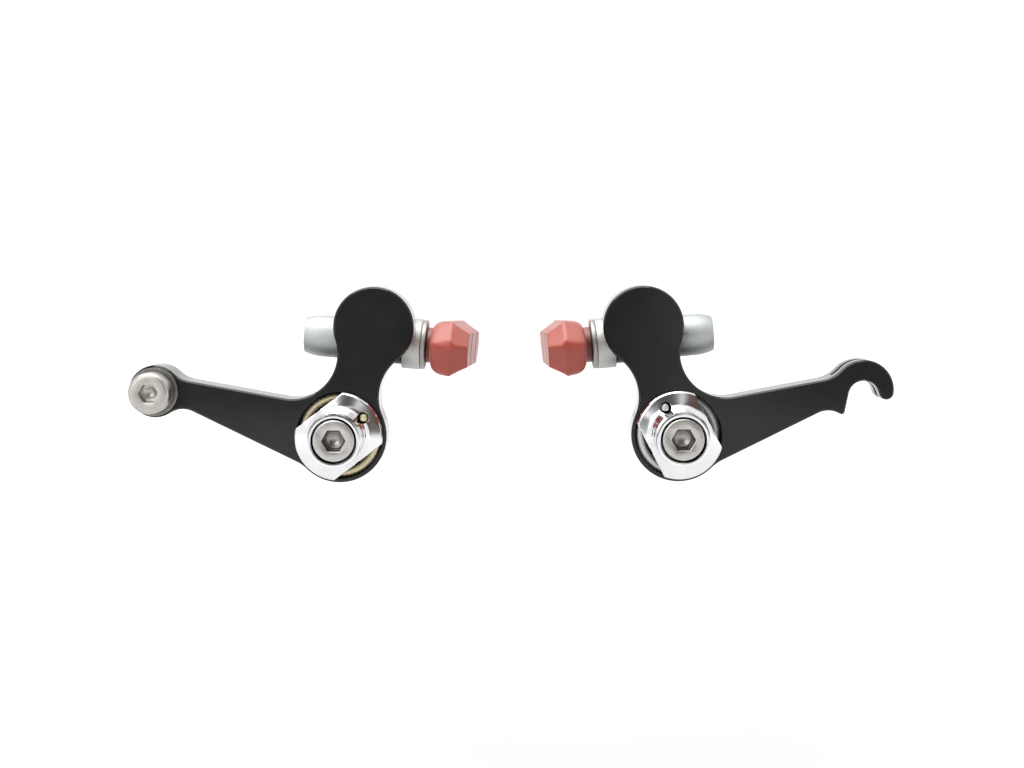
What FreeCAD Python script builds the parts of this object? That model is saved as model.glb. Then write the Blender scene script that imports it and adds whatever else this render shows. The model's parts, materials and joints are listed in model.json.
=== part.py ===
import FreeCAD
import Part
import itertools
import math
import os

# A cantilever rim brake for one bicycle wheel: two machined arms on pivots, with springs and pads.
# Millimetres and degrees. X runs across the wheel, Y to the rear and Z up. The origin lies midway
# between the two pivots, on the plane where the pivot sleeves meet the frame.
# An arm is modelled with its pivot at the origin and the wheel on its +X side, as the left arm
# stands. Depths are heights above the frame plane, towards the front.

# The pair
PIVOT_SPACING = 82.5

# Pivot: the frame's boss, the sleeve on it, and the bushing in the arm
BOSS_DIAMETER = 8.0
BOSS_CLEARANCE = 0.03
SLEEVE_WALL = 0.97
RUNNING_CLEARANCE = 0.05
BUSHING_WALL = 0.9
PRESS_CLEARANCE = 0.02
HUB_LENGTH = 16.0
END_PLAY = 0.5
REAR_LAND = 6.0
GREASE_GROOVE_WIDTH = 1.4
GREASE_GROOVE_DEPTH = 0.35

SLEEVE_BORE = BOSS_DIAMETER / 2 + BOSS_CLEARANCE
SLEEVE_RADIUS = SLEEVE_BORE + SLEEVE_WALL
BUSHING_BORE = SLEEVE_RADIUS + RUNNING_CLEARANCE
BUSHING_RADIUS = BUSHING_BORE + BUSHING_WALL
HUB_BORE = BUSHING_RADIUS + PRESS_CLEARANCE
ARM_FRONT = END_PLAY + HUB_LENGTH
SLEEVE_LENGTH = ARM_FRONT + END_PLAY

# Return spring and its pocket in the hub
WIRE_DIAMETER = 2.0
COIL_RADIUS = 9.3
SPRING_CLEARANCE = 0.3
POCKET_DEPTH = 6.5
RIM_WALL = 0.9
TUBE_WALL = 1.3
TUBE_SETBACK = 2.4
LEG_BEND_RADIUS = 1.5
LEG_BEND_STEPS = 4
INWARD_BEND_RADIUS = 5.5
INWARD_BEND_STEPS = 4
REAR_LEG_LENGTH = 1.5
REAR_LEG_ANGLE = 150.0
REAR_HOLE_CLEARANCE = 0.6
COIL_STEP = 15.0
WIRE_SIDES = 12
WIRE_RADIUS = WIRE_DIAMETER / 2
POCKET_RADIUS = COIL_RADIUS + WIRE_RADIUS + SPRING_CLEARANCE
POCKET_FLOOR = ARM_FRONT - POCKET_DEPTH
HUB_RADIUS = POCKET_RADIUS + RIM_WALL
COIL_REAR = POCKET_FLOOR + SPRING_CLEARANCE + WIRE_RADIUS
COIL_FRONT = SLEEVE_LENGTH - SPRING_CLEARANCE - WIRE_RADIUS

# M6 screws and their sockets
SHANK_DIAMETER = 6.0
THREAD_UNDERSIZE = 0.34
SCREW_HEAD_DIAMETER = 10.0
SCREW_HEAD_HEIGHT = 6.0
SCREW_EDGE = 0.5
HEXAGON = 5.0
HEXAGON_DEPTH = 3.0
THREAD_RUNOUT = 0.4
TAP_CLEARANCE = 0.1
SCREW_HOLE_CLEARANCE = 0.2
PIVOT_BOLT_LENGTH = 16.0
ANCHOR_BOLT_LENGTH = 12.0
SHANK_RADIUS = SHANK_DIAMETER / 2
THREAD_RADIUS = SHANK_RADIUS - THREAD_UNDERSIZE / 2
SCREW_HEAD_RADIUS = SCREW_HEAD_DIAMETER / 2
SCREW_HOLE_RADIUS = SHANK_RADIUS + SCREW_HOLE_CLEARANCE

# Tension cap
CAP_HEIGHT = 12.0
CAP_FLANGE_THICKNESS = 2.5
CAP_FLANGE_SETBACK = 0.8
CAP_FLATS = 15.5
CAP_EDGE = 0.4
CAP_FOOT_RADIUS = 2.2
CAP_HEAD_CLEARANCE = 0.45
COLLAR_WALL = 0.7
HEAD_STANDS_PROUD = 0.2
LEG_HOLE_CLEARANCE = 0.4
LEG_HOLE_LAND = 0.1
LEG_TIP_SETBACK = 0.2
CAP_ANGLES = {"left": 37.0, "right": 63.0}
CAP_FLANGE_RADIUS = HUB_RADIUS - CAP_FLANGE_SETBACK
COUNTERBORE_RADIUS = SCREW_HEAD_RADIUS + CAP_HEAD_CLEARANCE
COLLAR_RADIUS = COUNTERBORE_RADIUS + COLLAR_WALL
PIVOT_HEAD_SEAT = CAP_HEIGHT + HEAD_STANDS_PROUD - SCREW_HEAD_HEIGHT
LEG_HOLE_RADIUS = WIRE_RADIUS + LEG_HOLE_CLEARANCE
LEG_RADIUS = COLLAR_RADIUS + LEG_HOLE_LAND + LEG_HOLE_RADIUS

# Arm outline: the pad head above the hub, and the lever between two straight edges
ARM_THICKNESS = 9.0
ARM_EDGE = 0.4
HEAD_RADIUS = 9.8
HEAD_REACH = 27.65
HEAD_LEAN = 18.0
NECK_INNER_FILLET = 11.7
NECK_OUTER_FILLET = 11.1
UPPER_EDGE_RISE = 10.5
UPPER_EDGE_OFFSET = 6.55
LOWER_EDGE_RISE = 26.25
LOWER_EDGE_OFFSET = 10.4
HUB_FILLET = 9.0
REAR_BOSS_RADIUS = 9.6
ARM_REAR = ARM_FRONT - ARM_THICKNESS

# Cable anchor at the left lever's end
ANCHOR_REACH = 46.1
ANCHOR_RISE = 13.7
ANCHOR_RADIUS = 6.35
ANCHOR_UPPER_FILLET = 7.0
ANCHOR_LOWER_FILLET = 5.5
ANCHOR_WASHER_RADIUS = 5.85
ANCHOR_WASHER_THICKNESS = 1.2
CABLE_DIAMETER = 1.6
CABLE_GROOVE_DEPTH = 0.9
CABLE_RISE = 62.0

# Straddle hook at the right lever's end
HOOK_REACH = 45.8
HOOK_RISE = 11.6
THROAT_RADIUS = 3.7
HOOK_OUTER_RADIUS = 7.35
HOOK_OUTER_SHIFT_X = 0.05
HOOK_OUTER_SHIFT_Z = 1.4
HOOK_TIP_RADIUS = 1.78
HOOK_TIP_ANGLE = 185.5
HOOK_UPPER_FILLET = 8.0
BEAK_RADIUS = 0.75
BEAK_SHIFT_X = 5.3
BEAK_SHIFT_Z = -3.7
BEAK_FILLET = 5.4
SLOT_WIDTH = 2.0
SLOT_CUTTER_RADIUS = 13.0
SLOT_CUTTER_SHIFT_X = -4.1
SLOT_CUTTER_SHIFT_Z = 11.2

# Pad clamp: the stud lies behind the pad head, between two ball seats about one centre
STUD_DROP = 3.7
STUD_TILT = 5.0
REST_TOE = -1.6
REST_TWIST = 1.6
HEAD_PLATE = 4.0
CLAMP_HALF_WIDTH = 4.6
CLAMP_LAND = 0.3
STUD_HOLE_CLEARANCE = 0.6
DOME_RADIUS = 5.3
DOME_HOLE_CLEARANCE = 0.75
INNER_SPHERE = 8.15
OUTER_SPHERE = 8.8
SEAT_GAP = 0.12
SPACER_RADIUS = 6.25
SPACER_MOUTH_RADIUS = 5.0
SPACER_END = 11.2
SPOTFACE_CLEARANCE = 0.65
PAD_WASHER_RADIUS = 6.1
PAD_WASHER_THICKNESS = 1.1
SPOTFACE_RADIUS = SPACER_RADIUS + SPOTFACE_CLEARANCE
STUD_DEPTH = ARM_FRONT - HEAD_PLATE - SPOTFACE_RADIUS
CLAMP_RADIUS = DOME_RADIUS + CLAMP_LAND
STUD_HOLE_RADIUS = THREAD_RADIUS + STUD_HOLE_CLEARANCE
DOME_HOLE_RADIUS = THREAD_RADIUS + DOME_HOLE_CLEARANCE

# Barrel nut
NUT_RADIUS = 5.1
NUT_MOUTH_RADIUS = 4.4
NUT_END = 17.8
NUT_TAPER = 4.5
NUT_END_RADIUS = 4.28
NUT_SOCKET_DEPTH = 3.8
STUD_TIP_SETBACK = 0.4

# Brake pad and the plate of its stud. Half heights are either side of the stud's axis.
PAD_LENGTH = 53.0
PAD_BACK_TO_PARTING = 5.0
PAD_PARTING_TO_FACE = 4.2
PAD_BACK_HALF_HEIGHT = 6.2
PAD_BACK_ROUND = 2.8
PAD_HALF_HEIGHT = 6.65
PAD_PARTING_ROUND = 1.0
PAD_FACE_HALF_HEIGHT = 4.0
PAD_FACE_ROUND = 0.6
NOSE_REACH = 27.75
NOSE_SLOPE_UP = 1.1
NOSE_SLOPE_FACE = 0.75
NOSE_SLOPE_BACK = 0.4
NECK_LENGTH = 2.5
NECK_RADIUS = 4.4
WATER_GROOVE_WIDTH = 1.6
WATER_GROOVE_DEPTH = 2.0
WATER_GROOVE_PITCH = 18.0
WATER_GROOVES = 2
STUD_PLATE_LENGTH = 28.0
STUD_PLATE_HEIGHT = 6.0
STUD_PLATE_THICKNESS = 1.5
STUD_PLATE_SETBACK = 1.7
NECK_START = SPACER_END + PAD_WASHER_THICKNESS
PAD_BACK = NECK_START + NECK_LENGTH
PAD_PARTING = PAD_BACK + PAD_BACK_TO_PARTING
PAD_FACE = PAD_PARTING + PAD_PARTING_TO_FACE

TINY = 1e-6
PAST = 1.0


def vector(x, y, z):
    return FreeCAD.Vector(x, y, z)


ORIGIN = vector(0, 0, 0)
X_AXIS = vector(1, 0, 0)
Y_AXIS = vector(0, 1, 0)
Z_AXIS = vector(0, 0, 1)


def polar(reach, angle):
    """A point of the arm's plane, at an angle above the +X axis."""
    return vector(reach * math.cos(math.radians(angle)), 0, reach * math.sin(math.radians(angle)))


def cylinder(radius, start, end):
    return Part.makeCylinder(radius, end - start, vector(0, 0, start))


def profile(start, *steps):
    """A closed face in the XZ plane. A step is a point to draw a line to, or two for an arc."""
    edges, here = [], start
    for step in [*steps, start]:
        if isinstance(step[0], tuple):
            via, end = step
            edges.append(Part.Arc(*(vector(x, 0, z) for x, z in (here, via, end))).toShape())
        else:
            end = step
            edges.append(Part.makeLine(vector(here[0], 0, here[1]), vector(end[0], 0, end[1])))
        here = end
    return Part.Face(Part.Wire(edges))


def turned(start, *steps):
    """A solid turned about the Z axis from a profile of radii and heights."""
    return profile(start, *steps).revolve(ORIGIN, Z_AXIS, 360)


def on_circle(centre_x, centre_z, radius, angle):
    return (
        centre_x + radius * math.cos(math.radians(angle)),
        centre_z + radius * math.sin(math.radians(angle)),
    )


def sphere_height(sphere, radius):
    return math.sqrt(sphere**2 - radius**2)


def sphere_arc(sphere, start_radius, end_radius, way):
    """The middle and the end of a profile's arc along a sphere about the origin."""
    middle = (start_radius + end_radius) / 2
    return (middle, way * sphere_height(sphere, middle)), (end_radius, way * sphere_height(sphere, end_radius))


def to_front(shape):
    """Stands a shape that was turned about Z on the frame plane, with its top to the front."""
    return shape.rotated(ORIGIN, X_AXIS, 90)


def hexagon_prism(across, start, end):
    corner = across / 2 / math.cos(math.radians(30))
    points = [polar(corner, 60 * i) for i in range(7)]
    wire = Part.makePolygon([vector(p.x, p.z, start) for p in points])
    return Part.Face(wire).extrude(vector(0, 0, end - start))


# Outlines of arcs and tangents
def beside_circles(a, reach_a, b, reach_b, side):
    """The point at these reaches from a and b, left (1) or right (-1) of the way from a to b."""
    way = b - a
    along = (reach_a**2 - reach_b**2 + way.Length**2) / (2 * way.Length)
    across = math.sqrt(reach_a**2 - along**2)
    way.normalize()
    return a + way * along + vector(-way.z, 0, way.x) * (side * across)


def beside_edge(normal, offset, centre, reach, way):
    """The point at an offset along a normal and at a reach from a centre, further along way."""
    across = offset - normal.dot(centre)
    return centre + normal * across + way * math.sqrt(reach**2 - across**2)


def belt(circles):
    """A closed wire round directed circles: turn 1 is to the left, as on a round end, -1 to the right."""
    leave, arrive = [], []
    for i, (centre, radius, turn) in enumerate(circles):
        other, other_radius, other_turn = circles[(i + 1) % len(circles)]
        way = other - centre
        share = round((other_turn * other_radius - turn * radius) / way.Length, 9)
        way.normalize()
        normal = way * share + vector(-way.z, 0, way.x) * math.sqrt(1 - share**2)
        leave.append(centre - normal * (turn * radius))
        arrive.append(other - normal * (other_turn * other_radius))
    edges = []
    for i, (centre, radius, turn) in enumerate(circles):
        start, end = arrive[i - 1] - centre, leave[i] - centre
        from_angle = math.degrees(math.atan2(start.z, start.x))
        sweep = turn * (math.degrees(math.atan2(end.z, end.x)) - from_angle) % 360
        middle = centre + polar(radius, from_angle + turn * sweep / 2)
        edges.append(Part.Arc(arrive[i - 1], middle, leave[i]).toShape())
        if (arrive[i] - leave[i]).Length > TINY:
            edges.append(Part.makeLine(leave[i], arrive[i]))
    return Part.Wire(edges)


HUB_CENTRE = ORIGIN
HEAD_CENTRE = polar(HEAD_REACH, 90 - HEAD_LEAN)
ANCHOR_CENTRE = polar(ANCHOR_REACH, 180 - ANCHOR_RISE)
THROAT_CENTRE = polar(HOOK_REACH, 180 - HOOK_RISE)
CLAMP_CENTRE = HEAD_CENTRE - Z_AXIS * STUD_DROP
UPPER_NORMAL = polar(1, 90 - UPPER_EDGE_RISE)
UPPER_OUTWARD = polar(1, 180 - UPPER_EDGE_RISE)
LOWER_NORMAL = polar(1, -90 - LOWER_EDGE_RISE)
LOWER_OUTWARD = polar(1, 180 - LOWER_EDGE_RISE)


def under_lever(radius, centre, reach, way):
    return beside_edge(LOWER_NORMAL, LOWER_EDGE_OFFSET + radius, centre, reach, way)


def over_lever(radius, centre, reach, way):
    return beside_edge(UPPER_NORMAL, UPPER_EDGE_OFFSET + radius, centre, reach, way)


def anchor_end():
    """The left lever's round end, with its fillets."""
    upper = over_lever(
        ANCHOR_UPPER_FILLET, ANCHOR_CENTRE, ANCHOR_RADIUS + ANCHOR_UPPER_FILLET, -UPPER_OUTWARD
    )
    lower = under_lever(
        ANCHOR_LOWER_FILLET, ANCHOR_CENTRE, ANCHOR_RADIUS + ANCHOR_LOWER_FILLET, -LOWER_OUTWARD
    )
    return [
        (upper, ANCHOR_UPPER_FILLET, -1),
        (ANCHOR_CENTRE, ANCHOR_RADIUS, 1),
        (lower, ANCHOR_LOWER_FILLET, -1),
    ]


def hook_end():
    """The right lever's open hook, from its back round the tip and the throat to the beak."""
    outer = THROAT_CENTRE + vector(HOOK_OUTER_SHIFT_X, 0, HOOK_OUTER_SHIFT_Z)
    tip = outer + polar(HOOK_OUTER_RADIUS - HOOK_TIP_RADIUS, HOOK_TIP_ANGLE)
    beak = THROAT_CENTRE + vector(BEAK_SHIFT_X, 0, BEAK_SHIFT_Z)
    upper = over_lever(
        HOOK_UPPER_FILLET, outer, HOOK_OUTER_RADIUS + HOOK_UPPER_FILLET, -UPPER_OUTWARD
    )
    lower = under_lever(BEAK_FILLET, beak, BEAK_RADIUS + BEAK_FILLET, -LOWER_OUTWARD)
    return [
        (upper, HOOK_UPPER_FILLET, -1),
        (outer, HOOK_OUTER_RADIUS, 1),
        (tip, HOOK_TIP_RADIUS, 1),
        (THROAT_CENTRE, THROAT_RADIUS, -1),
        (beak, BEAK_RADIUS, 1),
        (lower, BEAK_FILLET, -1),
    ]


def arm_outline(end):
    inner = beside_circles(
        HUB_CENTRE,
        HUB_RADIUS + NECK_INNER_FILLET,
        HEAD_CENTRE,
        HEAD_RADIUS + NECK_INNER_FILLET,
        -1,
    )
    outer = over_lever(
        NECK_OUTER_FILLET, HEAD_CENTRE, HEAD_RADIUS + NECK_OUTER_FILLET, UPPER_OUTWARD
    )
    hub = under_lever(HUB_FILLET, HUB_CENTRE, HUB_RADIUS + HUB_FILLET, LOWER_OUTWARD)
    return belt(
        [
            (HUB_CENTRE, HUB_RADIUS, 1),
            (inner, NECK_INNER_FILLET, -1),
            (HEAD_CENTRE, HEAD_RADIUS, 1),
            (outer, NECK_OUTER_FILLET, -1),
            *end,
            (hub, HUB_FILLET, -1),
        ]
    )


def on_stud(shape, toe=0.0, twist=0.0):
    """Lays a shape that was made along Z on the stud's axis."""
    return at_clamp(shape.rotated(ORIGIN, Y_AXIS, 90), toe, twist)


def at_clamp(shape, toe=0.0, twist=0.0):
    """Puts a shape with the stud along X and the pad's length along Y at the clamp's centre.

    Twist turns it about the stud, and toe turns it in its ball seat.
    """
    shape = shape.rotated(ORIGIN, X_AXIS, -twist).rotated(ORIGIN, Z_AXIS, toe)
    return shape.rotated(ORIGIN, Y_AXIS, STUD_TILT).translated(CLAMP_CENTRE - Y_AXIS * STUD_DEPTH)


def clamp_boss(outline):
    """The boss behind the pad head that the stud passes through, kept within the arm's outline."""
    width = 2 * CLAMP_HALF_WIDTH
    barrel = cylinder(CLAMP_RADIUS, -CLAMP_HALF_WIDTH, CLAMP_HALF_WIDTH)
    reach = SPOTFACE_RADIUS + HEAD_PLATE / 2
    web = Part.makeBox(
        2 * CLAMP_RADIUS,
        reach,
        width,
        vector(-CLAMP_RADIUS, -reach, -CLAMP_HALF_WIDTH),
    )
    prism = Part.Face(outline).extrude(Y_AXIS * ARM_FRONT).translated(-Y_AXIS * ARM_FRONT)
    return on_stud(barrel.fuse(web)).common(prism)


def hub_pocket():
    """What is cut from the hub's front: the spring's round pocket about a shorter bearing tube."""
    tube_radius = HUB_BORE + TUBE_WALL
    tube_front = ARM_FRONT - TUBE_SETBACK
    return to_front(
        turned(
            (0, tube_front),
            (tube_radius, tube_front),
            (tube_radius, POCKET_FLOOR),
            (POCKET_RADIUS, POCKET_FLOOR),
            (POCKET_RADIUS, ARM_FRONT + PAST),
            (0, ARM_FRONT + PAST),
        )
    )


def arm(end, cuts):
    outline = arm_outline(end)
    plate = Part.Face(outline).extrude(Y_AXIS * ARM_THICKNESS).translated(-Y_AXIS * ARM_FRONT)
    front = [e for e in plate.Edges if e.BoundBox.YMax < TINY - ARM_FRONT]
    plate = plate.makeChamfer(ARM_EDGE, front)
    rear_boss = to_front(cylinder(REAR_BOSS_RADIUS, END_PLAY, ARM_FRONT - ARM_EDGE))
    solid = plate.fuse([rear_boss, clamp_boss(outline)]).removeSplitter()
    bore = to_front(cylinder(HUB_BORE, 0, ARM_FRONT))
    spotface = cylinder(SPOTFACE_RADIUS, CLAMP_HALF_WIDTH, 3 * CLAMP_HALF_WIDTH)
    stud_hole = cylinder(STUD_HOLE_RADIUS, -2 * CLAMP_HALF_WIDTH, 2 * CLAMP_HALF_WIDTH)
    leg_x, leg_y = rear_leg_place()
    leg_hole = Part.makeCylinder(
        WIRE_RADIUS + REAR_HOLE_CLEARANCE,
        REAR_LEG_LENGTH + SPRING_CLEARANCE,
        vector(leg_x, leg_y, POCKET_FLOOR - REAR_LEG_LENGTH - SPRING_CLEARANCE),
    )
    return solid.cut(
        [
            hub_pocket(),
            bore,
            on_stud(spotface),
            on_stud(spotface.mirror(ORIGIN, Z_AXIS)),
            on_stud(stud_hole),
            to_front(leg_hole),
            *cuts,
        ]
    )


def anchor_cuts():
    """The anchor's tapped hole, and the groove that the cable lies in under the washer."""
    tap = cylinder(THREAD_RADIUS + TAP_CLEARANCE, 0, ARM_FRONT + PAST)
    groove = Part.makeBox(
        2 * ANCHOR_RADIUS + 2 * PAST,
        CABLE_DIAMETER,
        CABLE_GROOVE_DEPTH + PAST,
        vector(-ANCHOR_RADIUS - PAST, THREAD_RADIUS, ARM_FRONT - CABLE_GROOVE_DEPTH),
    )
    groove.rotate(ORIGIN, Z_AXIS, CABLE_RISE)
    return [to_front(shape).translated(ANCHOR_CENTRE) for shape in (tap, groove)]


def hook_cuts():
    """The slot that lets the straddle cable into the hook, as a slitting saw leaves it."""
    middle = ARM_FRONT - ARM_THICKNESS / 2
    saw = cylinder(SLOT_CUTTER_RADIUS, middle - SLOT_WIDTH / 2, middle + SLOT_WIDTH / 2)
    shift = vector(SLOT_CUTTER_SHIFT_X, 0, SLOT_CUTTER_SHIFT_Z)
    return [to_front(saw).translated(THROAT_CENTRE + shift)]


# Pivot
def pivot_bushing():
    front = ARM_FRONT - TUBE_SETBACK
    return to_front(cylinder(BUSHING_RADIUS, END_PLAY, front).cut(cylinder(BUSHING_BORE, 0, ARM_FRONT)))


def pivot_sleeve():
    groove_end = REAR_LAND + GREASE_GROOVE_WIDTH
    groove_radius = SLEEVE_BORE + GREASE_GROOVE_DEPTH
    return to_front(
        turned(
            (SLEEVE_BORE, 0),
            (SLEEVE_RADIUS, 0),
            (SLEEVE_RADIUS, SLEEVE_LENGTH),
            (SLEEVE_BORE, SLEEVE_LENGTH),
            (SLEEVE_BORE, groove_end),
            (groove_radius, groove_end),
            (groove_radius, REAR_LAND),
            (SLEEVE_BORE, REAR_LAND),
        )
    )


def socket_screw(length, grip):
    """A socket head screw along Z, its head's underside at the origin, with a plain shank for the grip."""
    thread_start = -grip - THREAD_RUNOUT
    screw = turned(
        (0, -length),
        (THREAD_RADIUS, -length),
        (THREAD_RADIUS, thread_start),
        (SHANK_RADIUS, thread_start),
        (SHANK_RADIUS, 0),
        (SCREW_HEAD_RADIUS, 0),
        (SCREW_HEAD_RADIUS, SCREW_HEAD_HEIGHT - SCREW_EDGE),
        (SCREW_HEAD_RADIUS - SCREW_EDGE, SCREW_HEAD_HEIGHT),
        (0, SCREW_HEAD_HEIGHT),
    )
    return screw.cut(hexagon_prism(HEXAGON, SCREW_HEAD_HEIGHT - HEXAGON_DEPTH, SCREW_HEAD_HEIGHT + PAST))


def pivot_bolt():
    screw = socket_screw(PIVOT_BOLT_LENGTH, PIVOT_HEAD_SEAT)
    return to_front(screw.translated(Z_AXIS * (SLEEVE_LENGTH + PIVOT_HEAD_SEAT)))


def tension_cap(angle):
    foot_start = COLLAR_RADIUS + CAP_FOOT_RADIUS
    foot_top = CAP_FLANGE_THICKNESS + CAP_FOOT_RADIUS
    cap = turned(
        (SCREW_HOLE_RADIUS, 0),
        (CAP_FLANGE_RADIUS, 0),
        (CAP_FLANGE_RADIUS, CAP_FLANGE_THICKNESS - CAP_EDGE),
        (CAP_FLANGE_RADIUS - CAP_EDGE, CAP_FLANGE_THICKNESS),
        (foot_start, CAP_FLANGE_THICKNESS),
        on_circle(foot_start, foot_top, CAP_FOOT_RADIUS, 225),
        (COLLAR_RADIUS, foot_top),
        (COLLAR_RADIUS, CAP_HEIGHT),
        (COUNTERBORE_RADIUS, CAP_HEIGHT),
        (COUNTERBORE_RADIUS, PIVOT_HEAD_SEAT),
        (SCREW_HOLE_RADIUS, PIVOT_HEAD_SEAT),
    )
    flat = Part.makeBox(
        2 * CAP_FLANGE_RADIUS,
        CAP_FLANGE_RADIUS,
        CAP_HEIGHT,
        vector(-CAP_FLANGE_RADIUS, CAP_FLATS / 2, 0),
    )
    hole = cylinder(LEG_HOLE_RADIUS, 0, CAP_HEIGHT).translated(X_AXIS * LEG_RADIUS)
    cap = cap.cut([flat, flat.mirror(ORIGIN, Y_AXIS), hole])
    return to_front(cap.rotated(ORIGIN, Z_AXIS, angle).translated(Z_AXIS * SLEEVE_LENGTH))


# Return spring: a rear leg, the coil, a bend towards the axis and a front leg, all tangent
def rear_leg_place():
    """Where the rear leg stands, one bend behind the coil's start."""
    angle = math.radians(REAR_LEG_ANGLE)
    x = COIL_RADIUS * math.cos(angle) + LEG_BEND_RADIUS * math.sin(angle)
    y = COIL_RADIUS * math.sin(angle) - LEG_BEND_RADIUS * math.cos(angle)
    return x, y


def bend(start, heading, side, radius, angle, steps):
    """Points along an arc that turns from a heading to a side, and the heading that it ends on."""

    def at(turn):
        return start + heading * (radius * math.sin(turn)) + side * (radius * (1 - math.cos(turn)))

    points = [at(angle * (i + 1) / steps) for i in range(steps)]
    return points, heading * math.cos(angle) + side * math.sin(angle)


def elbow(start, heading, target):
    """Points along the wire's small bend from a heading to a target direction."""
    side = target - heading * heading.dot(target)
    side.normalize()
    return bend(start, heading, side, LEG_BEND_RADIUS, math.acos(heading.dot(target)), LEG_BEND_STEPS)[0]


def inward_bend():
    """How far the front end turns in to reach the cap's hole, and how far round it gets, in radians."""
    shift = COIL_RADIUS - INWARD_BEND_RADIUS
    arm_length = math.hypot(INWARD_BEND_RADIUS, LEG_BEND_RADIUS)
    lag = math.atan2(LEG_BEND_RADIUS, INWARD_BEND_RADIUS)
    turn = math.acos((LEG_RADIUS**2 - shift**2 - arm_length**2) / (2 * shift * arm_length)) - lag
    x = shift + arm_length * math.cos(turn + lag)
    return turn, math.atan2(arm_length * math.sin(turn + lag), x)


def return_spring(cap_angle):
    """The spring as a run of short straight lengths of wire, with a mitre at each turn."""
    turn, advance = inward_bend()
    coil_angle = (cap_angle - math.degrees(advance) - REAR_LEG_ANGLE) % 360 + 360
    height = COIL_FRONT - COIL_REAR
    slope = math.atan2(height, COIL_RADIUS * math.radians(coil_angle))
    steps = round(coil_angle / COIL_STEP)

    def on_coil(share):
        angle = math.radians(REAR_LEG_ANGLE + coil_angle * share)
        outward = vector(math.cos(angle), math.sin(angle), 0)
        along = vector(-outward.y, outward.x, 0) * math.cos(slope) + Z_AXIS * math.sin(slope)
        return outward * COIL_RADIUS + Z_AXIS * (COIL_REAR + height * share), along, outward

    start, along, _ = on_coil(0)
    rear = elbow(start, -along, -Z_AXIS)
    rear_tip = vector(rear[-1].x, rear[-1].y, POCKET_FLOOR - REAR_LEG_LENGTH)
    end, along, outward = on_coil(1)
    inward, heading = bend(end, along, -outward, INWARD_BEND_RADIUS, turn, INWARD_BEND_STEPS)
    front = elbow(inward[-1], heading, Z_AXIS)
    tip_height = SLEEVE_LENGTH + CAP_FLANGE_THICKNESS - LEG_TIP_SETBACK
    front_tip = vector(front[-1].x, front[-1].y, tip_height)
    coil = [on_coil(i / steps)[0] for i in range(steps + 1)]
    path = Part.makePolygon([rear_tip, *reversed(rear), *coil, *inward, *front, front_tip])
    corners = [polar(WIRE_RADIUS, 360 * i / WIRE_SIDES) for i in range(WIRE_SIDES + 1)]
    section = Part.makePolygon([rear_tip + vector(p.x, p.z, 0) for p in corners])
    return to_front(path.makePipeShell([section], True, False, 1))


# Pad hardware, along Z from the clamp's centre towards the wheel
def dome_washer(sphere, way):
    return turned(
        (DOME_HOLE_RADIUS, way * CLAMP_HALF_WIDTH),
        (DOME_RADIUS, way * CLAMP_HALF_WIDTH),
        (DOME_RADIUS, way * sphere_height(sphere, DOME_RADIUS)),
        sphere_arc(sphere, DOME_RADIUS, DOME_HOLE_RADIUS, way),
    )


def pad_spacer():
    seat = INNER_SPHERE + SEAT_GAP
    mouth = sphere_height(seat, SPACER_MOUTH_RADIUS)
    return turned(
        (SCREW_HOLE_RADIUS, sphere_height(seat, SCREW_HOLE_RADIUS)),
        sphere_arc(seat, SCREW_HOLE_RADIUS, SPACER_MOUTH_RADIUS, 1),
        (SPACER_RADIUS, mouth),
        (SPACER_RADIUS, SPACER_END),
        (SCREW_HOLE_RADIUS, SPACER_END),
    )


def pad_washer():
    washer = cylinder(PAD_WASHER_RADIUS, SPACER_END, NECK_START)
    return washer.cut(cylinder(SCREW_HOLE_RADIUS, 0, PAD_BACK))


def pad_nut():
    """The barrel nut: a cupped inner face, a straight barrel and a taper to its socket."""
    seat = OUTER_SPHERE + SEAT_GAP
    bore = THREAD_RADIUS + TAP_CLEARANCE
    mouth = -sphere_height(seat, NUT_MOUTH_RADIUS)
    shoulder = NUT_TAPER - NUT_END
    socket_floor = NUT_SOCKET_DEPTH - NUT_END
    nut = turned(
        (bore, -sphere_height(seat, bore)),
        sphere_arc(seat, bore, NUT_MOUTH_RADIUS, -1),
        (NUT_RADIUS, mouth),
        (NUT_RADIUS, shoulder),
        (NUT_END_RADIUS, -NUT_END),
        (0, -NUT_END),
        (0, socket_floor),
        (bore, socket_floor),
    )
    return nut.cut(hexagon_prism(HEXAGON, -NUT_END - PAST, socket_floor))


def pad_stud():
    """The threaded post and the plate at its end that the rubber is moulded round."""
    plate_start = PAD_BACK + STUD_PLATE_SETBACK
    tip = NUT_SOCKET_DEPTH - NUT_END + STUD_TIP_SETBACK
    post = turned(
        (0, tip),
        (THREAD_RADIUS, tip),
        (THREAD_RADIUS, plate_start),
        (0, plate_start),
    )
    plate = Part.makeBox(
        STUD_PLATE_HEIGHT,
        STUD_PLATE_LENGTH,
        STUD_PLATE_THICKNESS,
        vector(-STUD_PLATE_HEIGHT / 2, -STUD_PLATE_LENGTH / 2, plate_start),
    )
    return post.fuse(plate)


def pad_outline():
    """Across the pad: the braking face, the widest line at the mould's parting, and the round back."""
    upper = [
        (PAD_FACE - PAD_FACE_ROUND, PAD_FACE_HALF_HEIGHT, PAD_FACE_ROUND),
        (PAD_PARTING, PAD_HALF_HEIGHT, PAD_PARTING_ROUND),
        (PAD_BACK + PAD_BACK_ROUND, PAD_BACK_HALF_HEIGHT, PAD_BACK_ROUND),
    ]
    circles = [(vector(x, 0, top - radius), radius, 1) for x, top, radius in upper]
    mirrored = [(vector(c.x, 0, -c.z), radius, 1) for c, radius, _ in reversed(circles)]
    return belt(circles + mirrored)


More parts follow.
